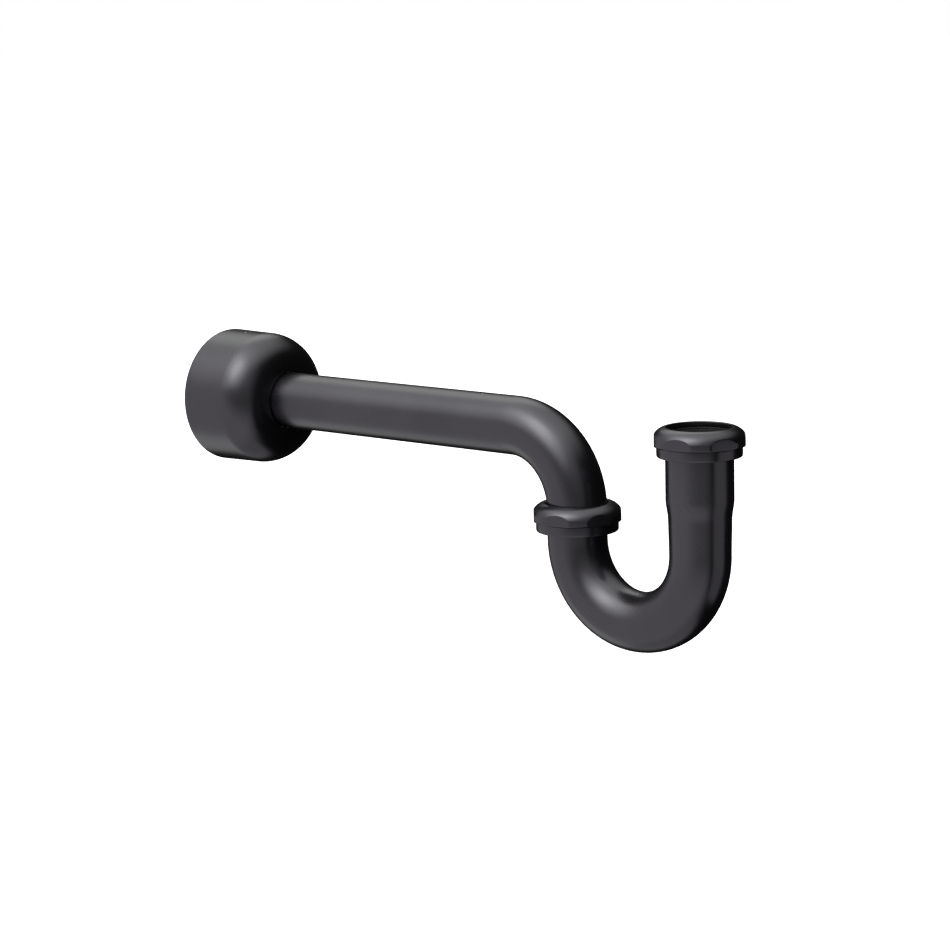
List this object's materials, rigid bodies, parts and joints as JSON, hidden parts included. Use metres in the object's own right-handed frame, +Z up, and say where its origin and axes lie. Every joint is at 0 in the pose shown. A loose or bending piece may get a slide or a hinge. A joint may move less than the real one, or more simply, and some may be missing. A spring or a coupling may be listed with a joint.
{
  "type": "p trap",
  "caption": "Tubular P trap: a U-shaped bend that holds a water seal under a basin, joined by slip nuts to a long wall arm with a deep box escutcheon.",
  "frame": {"origin": "on the arm's axis, in the plane of the wall", "axes": "+X out of the wall along the arm, +Z up, so that the trap lies in the plane Y = 0"},
  "size_m": [0.3769, 0.0764, 0.1502],
  "materials": {
    "satin_black": "satin black coat on brass",
    "raw_brass": "machined",
    "black_rubber": "matte",
    "black_nylon": "matte"
  },
  "bodies": {
    "arm": {"wall_arm_tube": "satin_black"},
    "outlet_nut": {"outlet_slip_nut": "satin_black", "outlet_friction_ring": "black_nylon"},
    "outlet_seal": {"outlet_slip_washer": "black_rubber"},
    "j_bend": {"j_bend_tube": "satin_black", "outlet_ferrule": "raw_brass", "inlet_ferrule": "raw_brass", "inlet_slip_washer": "black_rubber"},
    "inlet_ring": {"inlet_friction_ring": "black_nylon"},
    "inlet_nut": {"inlet_slip_nut": "satin_black"},
    "wall_seal": {"wall_slip_washer": "black_rubber", "wall_friction_ring": "black_nylon"},
    "wall_nut": {"wall_slip_nut": "satin_black"},
    "grip_ring": {"escutcheon_grip_ring": "black_rubber"},
    "escutcheon": {"box_escutcheon": "satin_black"}
  },
  "joints": [
    {"name": "outlet_nut_turn", "type": "hinge", "parent": "arm", "child": "outlet_nut", "pos_m": [0.2591, 0, -0.0446], "axis": [0, 0, 1], "range_deg": [0, 1080]},
    {"name": "j_bend_swivel", "type": "hinge", "parent": "arm", "child": "outlet_seal", "pos_m": [0.2591, 0, -0.0446], "axis": [0, 0, 1], "range_deg": [-125, 125]},
    {"name": "j_bend_drop", "type": "slide", "parent": "outlet_seal", "child": "j_bend", "axis": [0, 0, -1], "range_m": [0, 0.0067]},
    {"name": "inlet_nut_rise", "type": "slide", "parent": "j_bend", "child": "inlet_ring", "axis": [0, 0, 1], "range_m": [0, 0.0067]},
    {"name": "inlet_nut_turn", "type": "hinge", "parent": "inlet_ring", "child": "inlet_nut", "pos_m": [0.3387, 0, 0.0023], "axis": [0, 0, 1], "range_deg": [0, 1080]},
    {"name": "wall_joint_slide", "type": "slide", "parent": "arm", "child": "wall_seal", "axis": [1, 0, 0], "range_m": [-0.018, 0.018]},
    {"name": "wall_nut_turn", "type": "hinge", "parent": "wall_seal", "child": "wall_nut", "pos_m": [0.0135, 0, 0], "axis": [1, 0, 0], "continuous": true},
    {"name": "escutcheon_slide", "type": "slide", "parent": "arm", "child": "grip_ring", "axis": [1, 0, 0], "range_m": [0, 0.165]},
    {"name": "escutcheon_turn", "type": "hinge", "parent": "grip_ring", "child": "escutcheon", "pos_m": [0.043, 0, 0], "axis": [1, 0, 0], "continuous": true}
  ],
  "couplings": [
    {"joint": "j_bend_drop", "follows": "outlet_nut_turn", "m_per_rad": 0.00035152},
    {"joint": "inlet_nut_rise", "follows": "inlet_nut_turn", "m_per_rad": 0.00035152}
  ]
}
